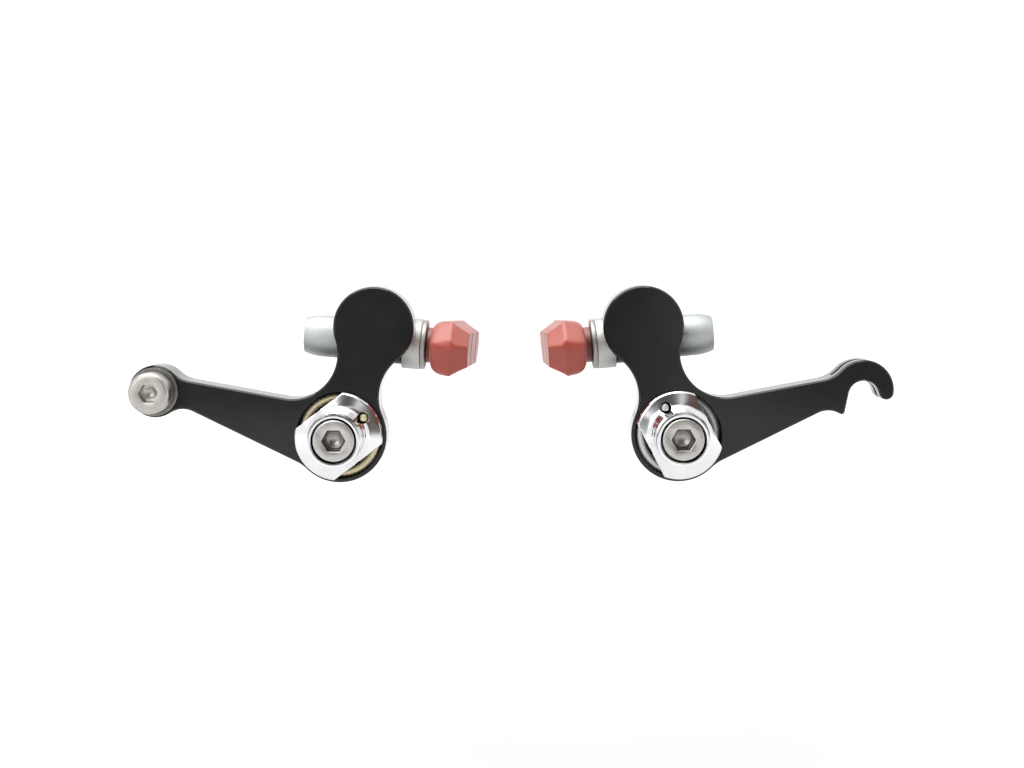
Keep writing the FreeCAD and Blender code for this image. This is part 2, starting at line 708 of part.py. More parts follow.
def pad_noses():
    """An eight-sided solid that cuts the pad's ends, steeper on the face side of the parting line."""
    centre = X_AXIS * PAD_PARTING
    faces = []
    for face_side, along, upward in itertools.product((1, -1), repeat=3):
        slope = NOSE_SLOPE_FACE if face_side > 0 else NOSE_SLOPE_BACK
        corners = [
            centre + X_AXIS * (face_side * NOSE_REACH / slope),
            centre + Y_AXIS * (along * NOSE_REACH),
            centre + Z_AXIS * (upward * NOSE_REACH / NOSE_SLOPE_UP),
        ]
        if face_side * along * upward < 0:
            corners.reverse()
        faces.append(Part.Face(Part.makePolygon([*corners, corners[0]])))
    return Part.Solid(Part.Shell(faces))


def brake_pad(stud):
    """The rubber pad, with the stud along X and a blunt four-sided nose at either end."""
    body = Part.Face(pad_outline()).extrude(Y_AXIS * PAD_LENGTH).translated(-Y_AXIS * (PAD_LENGTH / 2))
    body = body.common(pad_noses())
    neck = Part.makeCylinder(NECK_RADIUS, NECK_LENGTH + PAD_BACK_ROUND, X_AXIS * NECK_START, X_AXIS)
    first = -WATER_GROOVE_PITCH * (WATER_GROOVES - 1) / 2 - WATER_GROOVE_WIDTH / 2
    grooves = [
        Part.makeBox(
            WATER_GROOVE_DEPTH + PAST,
            WATER_GROOVE_WIDTH,
            2 * PAD_HALF_HEIGHT,
            vector(PAD_FACE - WATER_GROOVE_DEPTH, first + WATER_GROOVE_PITCH * i, -PAD_HALF_HEIGHT),
        )
        for i in range(WATER_GROOVES)
    ]
    return body.fuse(neck).cut([*grooves, stud.rotated(ORIGIN, Y_AXIS, 90)])


def anchor_washer():
    washer = cylinder(ANCHOR_WASHER_RADIUS, ARM_FRONT, ARM_FRONT + ANCHOR_WASHER_THICKNESS)
    washer = washer.cut(cylinder(SCREW_HOLE_RADIUS, 0, ARM_FRONT + 2 * ANCHOR_WASHER_THICKNESS))
    return to_front(washer).translated(ANCHOR_CENTRE)


def anchor_bolt():
    seat = ARM_FRONT + ANCHOR_WASHER_THICKNESS
    screw = socket_screw(ANCHOR_BOLT_LENGTH, ANCHOR_WASHER_THICKNESS - THREAD_RUNOUT)
    screw.translate(Z_AXIS * seat)
    return to_front(screw).translated(ANCHOR_CENTRE)


def side_pieces(cap_angle):
    """The pieces that both sides have, apart from the arms."""
    stud = pad_stud()
    return {
        "pivot_bushing": pivot_bushing(),
        "pivot_sleeve": pivot_sleeve(),
        "pivot_bolt": pivot_bolt(),
        "tension_cap": tension_cap(cap_angle),
        "return_spring": return_spring(cap_angle),
        "inner_dome_washer": on_stud(dome_washer(INNER_SPHERE, 1)),
        "outer_dome_washer": on_stud(dome_washer(OUTER_SPHERE, -1)),
        "pad_spacer": on_stud(pad_spacer(), REST_TOE),
        "pad_nut": on_stud(pad_nut(), REST_TOE),
        "pad_washer": on_stud(pad_washer(), REST_TOE, REST_TWIST),
        "pad_stud": on_stud(stud, REST_TOE, REST_TWIST),
        "brake_pad": at_clamp(brake_pad(stud), REST_TOE, REST_TWIST),
    }


def main():
    os.makedirs("parts", exist_ok=True)
    left = side_pieces(CAP_ANGLES["left"])
    left["arm"] = arm(anchor_end(), anchor_cuts())
    left["anchor_bolt"] = anchor_bolt()
    left["anchor_washer"] = anchor_washer()
    right = side_pieces(CAP_ANGLES["right"])
    right["arm"] = arm(hook_end(), hook_cuts())
    for name, shape in left.items():
        shape.translated(-X_AXIS * (PIVOT_SPACING / 2)).exportStep(f"parts/left_{name}.step")
    for name, shape in right.items():
        shape = shape.mirror(ORIGIN, X_AXIS)
        shape.translated(X_AXIS * (PIVOT_SPACING / 2)).exportStep(f"parts/right_{name}.step")


main()
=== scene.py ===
# %% [markdown]
# # A cantilever bicycle brake, dressed for a photograph
# The brake is a pair of machined arms. Each arm swings on a pivot under a polished cap, is opened by a
# spring and pushes a rubber pad at the wheel's rim. The frame that is loaded here holds every piece at
# its real size, so this lesson gives the pieces their finish, and models again the ones whose looks
# come from soft edges, turned curves or moulded rubber.

# %% Load the frame
import itertools
import json
import math

import bpy
from mathutils import Matrix, Vector


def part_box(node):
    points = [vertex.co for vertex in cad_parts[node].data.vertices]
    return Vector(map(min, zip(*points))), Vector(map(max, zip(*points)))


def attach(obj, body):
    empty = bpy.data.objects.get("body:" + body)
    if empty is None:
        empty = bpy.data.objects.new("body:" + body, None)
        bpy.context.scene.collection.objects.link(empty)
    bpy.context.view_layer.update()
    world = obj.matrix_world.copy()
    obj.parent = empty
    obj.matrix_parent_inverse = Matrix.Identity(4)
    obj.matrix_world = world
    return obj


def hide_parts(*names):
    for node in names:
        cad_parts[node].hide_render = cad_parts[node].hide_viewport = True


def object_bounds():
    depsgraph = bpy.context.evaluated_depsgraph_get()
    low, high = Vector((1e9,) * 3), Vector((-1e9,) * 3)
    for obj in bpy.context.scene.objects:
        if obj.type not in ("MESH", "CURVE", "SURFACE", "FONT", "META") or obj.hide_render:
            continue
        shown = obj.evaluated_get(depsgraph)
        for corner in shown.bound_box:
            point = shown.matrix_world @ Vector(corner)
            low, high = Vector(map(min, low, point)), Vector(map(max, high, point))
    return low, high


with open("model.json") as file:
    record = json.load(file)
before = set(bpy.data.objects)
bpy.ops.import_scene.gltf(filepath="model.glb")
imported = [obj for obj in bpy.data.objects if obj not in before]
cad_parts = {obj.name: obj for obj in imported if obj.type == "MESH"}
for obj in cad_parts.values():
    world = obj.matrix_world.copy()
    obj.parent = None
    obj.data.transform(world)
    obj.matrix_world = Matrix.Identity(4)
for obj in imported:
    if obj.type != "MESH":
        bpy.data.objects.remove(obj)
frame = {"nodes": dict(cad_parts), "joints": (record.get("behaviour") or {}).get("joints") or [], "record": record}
cad_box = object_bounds()
nodes = frame["nodes"]
joints = {joint["name"]: joint for joint in frame["joints"]}
body_of_node = {n: b for b, names in frame["record"]["behaviour"]["bodies"].items() for n in names}
slot_of_node = {part["node"]: part["material_slot"] for part in frame["record"]["subparts"]}

# %% [markdown]
# ## The camera
# The photograph looks straight at the brake from about forty centimetres, a little from above. The
# place and the lens were worked out from the bolts, whose real spacing is known, so the picture and
# the photograph can be laid over each other.

# %% Camera
MM = 0.001
CAMERA_PLACE = Vector((3.63, -405.88, 41.11)) * MM
CAMERA_YAW = math.radians(-0.415)
CAMERA_PITCH = math.radians(4.21)
CAMERA_ROLL = math.radians(-0.233)
CAMERA_LENS = 56.594
CAMERA_CLIP = 10 * MM

forward = Vector(
    (
        math.sin(CAMERA_YAW) * math.cos(CAMERA_PITCH),
        math.cos(CAMERA_YAW) * math.cos(CAMERA_PITCH),
        -math.sin(CAMERA_PITCH),
    )
)
level = Vector((math.cos(CAMERA_YAW), -math.sin(CAMERA_YAW), 0))
upright = level.cross(forward)
right = level * math.cos(CAMERA_ROLL) + upright * math.sin(CAMERA_ROLL)
up = right.cross(forward)
bpy.ops.object.camera_add()
camera = bpy.context.object
camera.matrix_world = Matrix.LocRotScale(
    CAMERA_PLACE, Matrix((right, up, -forward)).transposed().to_quaternion(), None
)
camera.data.lens = CAMERA_LENS
camera.data.clip_start = CAMERA_CLIP
bpy.context.scene.camera = camera
bpy.context.scene.view_settings.view_transform = "Standard"
print("camera looks along", tuple(round(v, 3) for v in forward))

# %% [markdown]
# ## Colours and nodes
# Colours are easiest to pick as they look on a screen, but a shader needs linear light, so one
# function turns a hex colour round. Another adds a node with its settings and links in one line.


# %% Two small helpers for materials
def linear(hex_colour):
    """A screen colour such as 808080 as linear red, green, blue and alpha."""
    channels = [int(hex_colour[i : i + 2], 16) / 255 for i in (0, 2, 4)]
    return [c / 12.92 if c <= 0.04045 else ((c + 0.055) / 1.055) ** 2.4 for c in channels] + [1]


def add(tree, kind, links=(), values=(), **settings):
    """Adds a node with its settings. Links and values go by the input's name or number."""
    node = tree.nodes.new(kind)
    for name, value in settings.items():
        setattr(node, name, value)
    for plug, value in dict(values).items():
        node.inputs[plug].default_value = value
    for plug, output in dict(links).items():
        tree.links.new(output, node.inputs[plug])
    return node


print("mid grey is", round(linear("808080")[0], 3), "in linear light")

# %% [markdown]
# ## The studio
# The brake is shown on pure white, as in a catalogue. The world is white to the camera, and to metal
# that looks back, aside or at the ceiling. Metal that looks forwards sees the dim room behind the
# camera, grey at the left and brown at the right of one bright strip, and that gives a mirror finish
# its contrast.

# %% World
FILL_LIGHT = 0.36
WHITE = (1, 1, 1, 1)
BLACK = (0, 0, 0, 1)
ROOM_GREY, ROOM_BROWN = linear("4a4a4c"), linear("5a4a42")
ROOM_ACROSS = [
    (-0.42, WHITE),
    (-0.28, ROOM_GREY),
    (0.07, ROOM_GREY),
    (0.1, WHITE),
    (0.14, WHITE),
    (0.17, ROOM_BROWN),
    (0.5, ROOM_BROWN),
    (0.65, WHITE),
]
CEILING = [(0.58, BLACK), (0.76, WHITE)]
BACKDROP = [(0.0, BLACK), (0.35, WHITE)]

world = bpy.data.worlds.new("studio")
bpy.context.scene.world = world
world.use_nodes = True
tree = world.node_tree
tree.nodes.clear()
direction = add(tree, "ShaderNodeTexCoord").outputs["Generated"]
split = add(tree, "ShaderNodeSeparateXYZ", {"Vector": direction}).outputs
bands = {}
for part, stops in (("X", ROOM_ACROSS), ("Z", CEILING), ("Y", BACKDROP)):
    # Each part of a direction runs from -1 to 1, and a ramp from 0 to 1.
    share = add(tree, "ShaderNodeMapRange", {"Value": split[part]}, {"From Min": -1, "From Max": 1})
    ramp = add(tree, "ShaderNodeValToRGB", {"Fac": share.outputs[0]})
    elements = ramp.color_ramp.elements
    elements.remove(elements[1])
    for i, (reach, colour) in enumerate(stops):
        element = elements.new((reach + 1) / 2) if i else elements[0]
        element.position = (reach + 1) / 2
        element.color = colour
    bands[part] = ramp.outputs["Color"]
around = bands["X"]
for part in ("Z", "Y"):
    links = {"Fac": bands[part], "Color1": around}
    around = add(tree, "ShaderNodeMixRGB", links, {"Color2": WHITE}).outputs[0]
rays = add(tree, "ShaderNodeLightPath").outputs
links = {0: rays["Is Camera Ray"], 1: rays["Is Transmission Ray"]}
seen = add(tree, "ShaderNodeMath", links, operation="MAXIMUM")
fill = add(tree, "ShaderNodeBackground", values={"Color": WHITE, "Strength": FILL_LIGHT})
mirrored_room = add(tree, "ShaderNodeBackground", {"Color": around})
backdrop = add(tree, "ShaderNodeBackground", values={"Color": WHITE, "Strength": 1})
links = {0: rays["Is Glossy Ray"], 1: fill.outputs[0], 2: mirrored_room.outputs[0]}
lit = add(tree, "ShaderNodeMixShader", links)
links = {0: seen.outputs[0], 1: lit.outputs[0], 2: backdrop.outputs[0]}
shown = add(tree, "ShaderNodeMixShader", links)
add(tree, "ShaderNodeOutputWorld", {"Surface": shown.outputs[0]})
print("world of", len(tree.nodes), "nodes")

# %% [markdown]
# A large soft lamp overhead is the main light, as the pale tops of the pads show. A weaker one beside
# the camera fills the fronts.


# %% Lamps
def softbox(name, place, size, watts):
    """A square lamp at a place, turned to face the brake."""
    bpy.ops.object.light_add(type="AREA", location=place)
    lamp = bpy.context.object
    lamp.name = name
    lamp.data.size = size
    lamp.data.energy = watts
    lamp.rotation_euler = (-Vector(place)).to_track_quat("-Z", "Y").to_euler()


softbox("overhead_softbox", place=(-0.15, -0.12, 0.75), size=0.7, watts=6.0)
softbox("camera_side_softbox", place=(-0.35, -0.75, 0.3), size=0.4, watts=1.4)
print(len(bpy.data.lights), "lamps")

# %% [markdown]
# The floor lies below the picture and catches the brake's shadow. It ends a metre in front, where
# polished metal shows its edge, and further off it turns to plain white, so that it meets the white
# world without a line.

# %% Floor
FLOOR_DROP = 75 * MM
FLOOR_FRONT, FLOOR_BACK, FLOOR_WIDTH = 1.03, 3.0, 6.0
FLOOR_BRIGHTNESS = 1.3
FLOOR_GREY = "c8c8c8"
GLOW_NEAR, GLOW_FAR = 0.62, 1.0
NEAR_ENDS, FAR_STARTS = 0.2, 0.7

bpy.ops.mesh.primitive_plane_add(size=1)
floor = bpy.context.object
floor.name = "floor"
floor.scale = (FLOOR_WIDTH, FLOOR_FRONT + FLOOR_BACK, 1)
floor.location = (0, (FLOOR_BACK - FLOOR_FRONT) / 2, cad_box[0].z - FLOOR_DROP)
bpy.ops.object.transform_apply()
paper = bpy.data.materials.new("white_paper")
paper.use_nodes = True
tree = paper.node_tree
tree.nodes.clear()
rays = add(tree, "ShaderNodeLightPath").outputs
seen = rays["Is Camera Ray"]
for kind in ("Is Glossy Ray", "Is Transmission Ray"):
    seen = add(tree, "ShaderNodeMath", {0: seen, 1: rays[kind]}, operation="MAXIMUM").outputs[0]
place = add(tree, "ShaderNodeTexCoord").outputs["Object"]
distance = add(tree, "ShaderNodeVectorMath", {0: place}, operation="LENGTH").outputs["Value"]
limits = {"From Min": NEAR_ENDS, "From Max": FAR_STARTS, "To Min": GLOW_NEAR, "To Max": GLOW_FAR}
share = add(tree, "ShaderNodeMapRange", {"Value": distance}, limits).outputs[0]
used = add(tree, "ShaderNodeMath", {0: seen, 1: share}, operation="MULTIPLY").outputs[0]
matt = add(tree, "ShaderNodeBsdfDiffuse", values={"Color": linear(FLOOR_GREY)})
glow = add(tree, "ShaderNodeEmission", values={"Color": WHITE, "Strength": FLOOR_BRIGHTNESS})
mixed = add(tree, "ShaderNodeMixShader", {0: used, 1: matt.outputs[0], 2: glow.outputs[0]})
add(tree, "ShaderNodeOutputMaterial", {"Surface": mixed.outputs[0]})
floor.data.materials.append(paper)
print("floor at", round((cad_box[0].z - FLOOR_DROP) / MM, 1), "mm")

# %% [markdown]
# ## Finishes
# Most pieces are bare, plated or anodised metal, and differ in colour, in how blurred their
# reflections are and in the grain that the tool or the blasting left. So one function makes a surface
# from two near colours that drift into each other, a roughness that drifts with them and a fine grain
# of bumps. Each pattern's size is in millimetres, and a noise of scale 1 / size repeats about that far
# apart. Blasting grit leaves a grain of about a tenth of a millimetre, which is too fine to show in
# the picture, so the grain is drawn two to four times as coarse.

# %% A grained surface
COLOUR_STOPS = (0.35, 0.65)
SMOOTHEST_AT, ROUGHEST_AT = 0.3, 0.7
DRIFT_DETAIL, GRAIN_DETAIL = 3, 2
RECESS_SHADE_MM, RECESS_SHADE_RAYS = 3, 8
RECESS_SHADE_FULL, RECESS_SHADE_ENDS = 0.45, 0.95
PALE_TOP_STARTS, PALE_TOP_FULL, PALE_TOP_SHARE = 0.1, 0.8, 0.3


def grained(
    name, colours, drift_mm, roughness, grain_mm, grain_depth_mm, shader, painted_recess_shade=None, top_light_and_dust=None
):
    """A material whose colour and roughness drift, with a fine grain.

    Shader gives constant inputs. The recess colour is painted shade, which darkens hollows, and the
    dust colour is a paler tint painted on faces that look up, for light from above and for dust.
    """
    material = bpy.data.materials.new(name)
    material.use_nodes = True
    tree = material.node_tree
    tree.nodes.clear()
    coordinates = add(tree, "ShaderNodeTexCoord").outputs
    place = {"Vector": coordinates["Object"]}
    pattern = {"Scale": 1 / (drift_mm * MM), "Detail": DRIFT_DETAIL}
    drift = add(tree, "ShaderNodeTexNoise", place, pattern).outputs["Fac"]
    ramp = add(tree, "ShaderNodeValToRGB", {"Fac": drift})
    for element, position, hex_colour in zip(ramp.color_ramp.elements, COLOUR_STOPS, colours):
        element.position = position
        element.color = linear(hex_colour)
    colour = ramp.outputs[0]
    # Painted shade: the colour darkens towards the recess colour where ambient occlusion finds a hollow.
    if painted_recess_shade:
        reach = {"Distance": RECESS_SHADE_MM * MM}
        sky = add(tree, "ShaderNodeAmbientOcclusion", values=reach, samples=RECESS_SHADE_RAYS)
        limits = {"From Min": RECESS_SHADE_FULL, "From Max": RECESS_SHADE_ENDS}
        share = add(tree, "ShaderNodeMapRange", {"Value": sky.outputs["AO"]}, limits)
        links = {"Fac": share.outputs[0], "Color2": colour}
        colour = add(tree, "ShaderNodeMixRGB", links, {"Color1": linear(painted_recess_shade)}).outputs[0]
    # Painted light and dust: faces that look up are tinted paler, for light from above and for dust.
    if top_light_and_dust:
        facing = add(tree, "ShaderNodeSeparateXYZ", {"Vector": coordinates["Normal"]})
        limits = {"From Min": PALE_TOP_STARTS, "From Max": PALE_TOP_FULL, "To Max": PALE_TOP_SHARE}
        share = add(tree, "ShaderNodeMapRange", {"Value": facing.outputs["Z"]}, limits)
        links = {"Fac": share.outputs[0], "Color1": colour}
        colour = add(tree, "ShaderNodeMixRGB", links, {"Color2": linear(top_light_and_dust)}).outputs[0]
    low, high = roughness
    limits = {"From Min": SMOOTHEST_AT, "From Max": ROUGHEST_AT, "To Min": low, "To Max": high}
    rough = add(tree, "ShaderNodeMapRange", {"Value": drift}, limits)
    pattern = {"Scale": 1 / (grain_mm * MM), "Detail": GRAIN_DETAIL}
    grain = add(tree, "ShaderNodeTexNoise", place, pattern).outputs["Fac"]
    height = {"Strength": 1, "Distance": grain_depth_mm * MM}
    bump = add(tree, "ShaderNodeBump", {"Height": grain}, height)
    links = {"Base Color": colour, "Roughness": rough.outputs[0], "Normal": bump.outputs[0]}
    surface = add(tree, "ShaderNodeBsdfPrincipled", links, shader)
    add(tree, "ShaderNodeOutputMaterial", {"Surface": surface.outputs[0]})
    return material


METAL = {"Metallic": 1}
DULL_METAL = {"Metallic": 0.8}
PLATE = {"Metallic": 0.6}
finish = {}
print("ready to make finishes")

# %% [markdown]
# The arms are cut from aluminium bar, blasted and anodised black. The dyed oxide is a thin hard glass
# over the metal: nearly black face on, with a soft sheen, and pale where a wall is seen edge on.

# %% Black anodised aluminium
finish["black_anodised"] = grained(
    "black_anodised_aluminium",
    ("222223", "272728"),
    drift_mm=6,
    roughness=(0.28, 0.33),
    grain_mm=0.35,
    grain_depth_mm=0.003,
    shader={
        "Metallic": 0,
        "IOR": 1.5,
        "Specular IOR Level": 0.12,
        "Coat Weight": 1,
        "Coat Roughness": 0.08,
        "Coat IOR": 1.3,
        "Sheen Weight": 0.5,
        "Sheen Roughness": 0.12,
        "Sheen Tint": linear("fff0ee"),
    },
)
print(finish["black_anodised"].name)

# %% [markdown]
# The caps are aluminium polished on a buffing wheel. They mirror the studio a little blurred, with a
# faint waviness that the buffing leaves.

# %% Polished aluminium
finish["polished_cap"] = grained(
    "buffed_aluminium",
    ("e8e8ea", "f0f0f1"),
    drift_mm=4,
    roughness=(0.12, 0.17),
    grain_mm=2.5,
    grain_depth_mm=0.004,
    shader=METAL,
)
print(finish["polished_cap"].name)

# %% [markdown]
# Bolts and the anchor's washer are stainless steel, tumbled to a satin: a warm light grey with soft
# reflections and painted shade in their hollows. The bolt that clamps the cable is a little more matt.

# %% Stainless steel
finish["stainless_bolt"] = grained(
    "tumbled_stainless_steel",
    ("c4c1bd", "cfccc8"),
    drift_mm=3,
    roughness=(0.26, 0.34),
    grain_mm=0.3,
    grain_depth_mm=0.005,
    shader=METAL,
    # The recess colour is painted shade in the sockets and other hollows.
    painted_recess_shade="2a201a",
)
finish["cable_bolt"] = grained(
    "satin_stainless_steel",
    ("bcb9b2", "c6c3bd"),
    drift_mm=3,
    roughness=(0.32, 0.4),
    grain_mm=0.3,
    grain_depth_mm=0.005,
    shader=METAL,
)
print(len(finish), "finishes so far")

# %% [markdown]
# The nuts and spacers are turned aluminium, blasted matt and left clear, so they are cooler and more
# even in tone. The washers at the pads are pressed from duller steel.

# %% Blasted aluminium and pressed steel
finish["satin_spacer"] = grained(
    "blasted_aluminium",
    ("c2c3c0", "c9cac7"),
    drift_mm=3,
    roughness=(0.5, 0.58),
    grain_mm=0.25,
    grain_depth_mm=0.008,
    shader=METAL,
)
finish["satin_nut"] = grained(
    "blasted_nut_aluminium",
    ("babebd", "c3c7c6"),
    drift_mm=3,
    roughness=(0.54, 0.62),
    grain_mm=0.25,
    grain_depth_mm=0.008,
    shader=METAL,
)
finish["thin_washer"] = grained(
    "pressed_steel",
    ("a6a7a2", "b2b3ae"),
    drift_mm=2,
    roughness=(0.42, 0.52),
    grain_mm=0.3,
    grain_depth_mm=0.006,
    shader=DULL_METAL,
)
print(len(finish), "finishes so far")

# %% [markdown]
# The left spring is zinc plated and dipped yellow, which drifts between gold and green. The right one
# is bright zinc.

# %% Zinc plate
finish["gold_spring"] = grained(
    "yellow_zinc_plate",
    ("ecdcb0", "e6dcba"),
    drift_mm=4,
    roughness=(0.45, 0.55),
    grain_mm=0.4,
    grain_depth_mm=0.006,
    shader=PLATE,
)
finish["silver_spring"] = grained(
    "bright_zinc_plate",
    ("cdd1d3", "d8dbdc"),
    drift_mm=4,
    roughness=(0.42, 0.5),
    grain_mm=0.4,
    grain_depth_mm=0.006,
    shader=PLATE,
)
print(len(finish), "finishes so far")

# %% [markdown]
# The metals that hardly show are the bushing, of sintered bronze with a speckle, the sleeve, of ground
# steel, the blackened domed washers and the pad's plated stud.

# %% Hidden metals
finish["bushing_bronze"] = grained(
    "sintered_bronze",
    ("9a6d38", "b58a50"),
    drift_mm=0.5,
    roughness=(0.4, 0.55),
    grain_mm=0.3,
    grain_depth_mm=0.01,
    shader=METAL,
)
finish["sleeve_steel"] = grained(
    "ground_steel",
    ("949698", "a2a4a6"),
    drift_mm=2,
    roughness=(0.25, 0.35),
    grain_mm=0.3,
    grain_depth_mm=0.005,
    shader=METAL,
)
finish["dark_washer"] = grained(
    "blackened_steel",
    ("3a3836", "464442"),
    drift_mm=2,
    roughness=(0.38, 0.5),
    grain_mm=0.3,
    grain_depth_mm=0.008,
    shader=METAL,
)
finish["stud_steel"] = grained(
    "plated_steel",
    ("a9abae", "b6b8ba"),
    drift_mm=2,
    roughness=(0.28, 0.38),
    grain_mm=0.3,
    grain_depth_mm=0.006,
    shader=METAL,
)
print(len(finish), "finishes so far")

# %% [markdown]
# The pads are moulded rubber, salmon red with a broad soft shine and a fine moulded grain. Painted
# shade deepens the colour in the hollows, and faces that look up are painted paler, for light from
# above and for a little dust.

# %% Moulded rubber
finish["pad_rubber"] = grained(
    "moulded_salmon_rubber",
    ("b74a3a", "bf5343"),
    drift_mm=5,
    roughness=(0.32, 0.4),
    grain_mm=0.4,
    grain_depth_mm=0.012,
    shader={
        "Metallic": 0,
        "IOR": 1.5,
        "Specular IOR Level": 0.55,
        "Sheen Weight": 0.12,
        "Sheen Roughness": 0.4,
        "Sheen Tint": linear("ffe9e2"),
    },
    # Painted shade at the neck and in the hollows, and painted top light with a little dust.
    painted_recess_shade="3c0c06",
    top_light_and_dust="dcaaa0",
)
print(len(finish), "finishes in all")

# %% [markdown]
# ## Working in edit mode
# An operator acts on all that is selected, so each helper first leaves one piece selected. A modifier
# is applied as soon as it is set, so that the next step finds the finished mesh.

# %% Selecting and finishing
DOUBLED = MM / 1000
SHARP_TURN = math.radians(30)
SMOOTH_TURN = math.radians(35)
EDGE_STEPS = 3


def only(piece):
    """Leaves one object selected and active, in object mode."""
    if bpy.context.mode != "OBJECT":
        bpy.ops.object.mode_set(mode="OBJECT")
    bpy.ops.object.select_all(action="DESELECT")
    piece.select_set(True)
    bpy.context.view_layer.objects.active = piece


def edit(piece, action="DESELECT"):
    """Enters edit mode with all of a piece's points selected, or none."""
    only(piece)
    bpy.ops.object.mode_set(mode="EDIT")
    bpy.ops.mesh.select_mode(type="VERT")
    bpy.ops.mesh.select_all(action=action)


def select_points(piece, test):
    """Enters edit mode with the points selected whose place, in millimetres, passes a test."""
    edit(piece)
    bpy.ops.object.mode_set(mode="OBJECT")
    for vertex in piece.data.vertices:
        vertex.select = test(vertex.co / MM)
    bpy.ops.object.mode_set(mode="EDIT")


def modify(piece, kind, **settings):
    """Adds a modifier, sets it and applies it."""
    only(piece)
    bpy.ops.object.modifier_add(type=kind)
    modifier = piece.modifiers[-1]
    for name, value in settings.items():
        setattr(modifier, name, value)
    bpy.ops.object.modifier_apply(modifier=modifier.name)


def close_up(piece):
    """Joins doubled points and turns every face outwards."""
    edit(piece, "SELECT")
    bpy.ops.mesh.remove_doubles(threshold=DOUBLED)
    bpy.ops.mesh.normals_make_consistent(inside=False)
    bpy.ops.object.mode_set(mode="OBJECT")


def round_edges(piece, radius_mm):
    """Rounds each sharp edge, and shades the piece smooth between the edges that are left."""
    modify(
        piece,
        "BEVEL",
        width=radius_mm * MM,
        segments=EDGE_STEPS,
        limit_method="ANGLE",
        angle_limit=SHARP_TURN,
    )
    bpy.ops.object.shade_smooth_by_angle(angle=SMOOTH_TURN)


def combine(piece, other, operation):
    """Cuts another closed shape from a piece, or joins it on, and deletes the other."""
    modify(piece, "BOOLEAN", object=other, operation=operation, solver="EXACT")
    bpy.data.objects.remove(other)


print("helpers for edit mode are ready")

# %% [markdown]
# A turned piece starts as a circle. The circle's edge is extruded from ring to ring, and each new ring
# is scaled to its radius, which draws the same profile that a lathe would cut. Spin could do it too,
# but whole rings leave no seam to close. A hexagonal rod serves to cut the sockets.

# %% Turning
TURNING_STEPS = 96
ARC_STEPS = 8


def arc(centre, radius, start, end, steps=ARC_STEPS):
    """Points of a profile along an arc, as radii and heights."""
    angles = [math.radians(start + (end - start) * i / steps) for i in range(steps + 1)]
    return [(centre[0] + radius * math.cos(a), centre[1] + radius * math.sin(a)) for a in angles]


def between(start, end, steps):
    """Points of a profile along a line, from its start up to the last one before its end."""
    return [tuple(Vector(start).lerp(Vector(end), i / steps)) for i in range(steps)]


def turned(name, profile, solid):
    """A piece turned about Z from radii and heights in mm. A solid one is closed at both ends."""
    bpy.ops.object.select_all(action="DESELECT")
    (radius, height), *rings = profile
    bpy.ops.mesh.primitive_circle_add(
        vertices=TURNING_STEPS,
        radius=radius * MM,
        location=(0, 0, height * MM),
        fill_type="NGON" if solid else "NOTHING",
    )
    piece = bpy.context.object
    piece.name = name
    bpy.ops.object.transform_apply()
    edit(piece, "SELECT")
    for ring_radius, ring_height in rings:
        bpy.ops.mesh.extrude_edges_move(
            TRANSFORM_OT_translate={"value": (0, 0, (ring_height - height) * MM)}
        )
        growth = ring_radius / radius
        bpy.ops.transform.resize(
            value=(growth, growth, 1), center_override=(0, 0, ring_height * MM)
        )
        radius, height = ring_radius, ring_height
    if solid:
        bpy.ops.mesh.edge_face_add()
    close_up(piece)
    return piece


def hexagon(across_mm, start_mm, end_mm):
    """A hexagonal rod along Z with two corners on the X axis, to cut a socket with."""
    half_side = math.radians(30)
    corner = across_mm / 2 / math.cos(half_side)
    bpy.ops.mesh.primitive_cylinder_add(
        vertices=6,
        radius=corner * MM,
        depth=(end_mm - start_mm) * MM,
        location=(0, 0, (start_mm + end_mm) / 2 * MM),
        rotation=(0, 0, half_side),
    )
    return bpy.context.object


print("turned pieces have", TURNING_STEPS, "sides")

# %% [markdown]
# Left and right pieces are mirror images, so most are modelled once at the left and turned over.
# Three frames place them: one at the pivot, with its Z axis to the front, one at the pad's ball seat,
# whose axes are those of the pad's own joints, and the same one with its Z axis along the stud.


# %% Placing
def put(piece, place):
    """Moves a piece from its own frame to its place, and keeps the place in the mesh."""
    piece.matrix_world = place
    only(piece)
    bpy.ops.object.transform_apply()
    return piece


def turned_over(piece, name):
    """The mirror image of a left piece, for the right side."""
    only(piece)
    bpy.ops.object.duplicate()
    twin = bpy.context.object
    twin.name = name
    twin.scale.x = -1
    bpy.ops.object.transform_apply()
    close_up(twin)
    return twin


def dress(piece, node, look=None):
    """Shows a piece in a node's place, with its body, its slot and the slot's finish or another."""
    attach(piece, body_of_node[node])
    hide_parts(node)
    piece.data.materials.clear()
    piece.data.materials.append(finish[look or slot_of_node[node]])
    print(piece.name, len(piece.data.polygons), "faces for", node)


FORWARD = Matrix(((1, 0, 0), (0, 0, -1), (0, 1, 0))).to_4x4()
pivot_place = Matrix.Translation(joints["left_arm_swing"]["pos_m"]) @ FORWARD
stud_axis = Vector(joints["left_pad_twist"]["axis"])
toe_axis = Vector(joints["left_pad_toe"]["axis"])
pad_axes = Matrix((stud_axis, toe_axis.cross(stud_axis), toe_axis)).transposed().to_4x4()
pad_place = Matrix.Translation(joints["left_pad_twist"]["pos_m"]) @ pad_axes
stud_place = pad_place @ Matrix.Rotation(math.radians(90), 4, "Y")
print("left pivot at", joints["left_arm_swing"]["pos_m"])

# %% [markdown]
# ## Tension caps
# A cap is a round flange with two flats for a spanner, and a collar that hides the bolt's head. The
# flange runs into the collar in a hollow curve and falls away a little to its rim, so the mirror
# finish shows the ceiling, the dark room and the white floor side by side. Cylinders could be stacked
# for it, but a mirror shows every kink, so the whole profile is turned in one go. Then the flats are
# cut with bisect and the spring's hole is drilled.

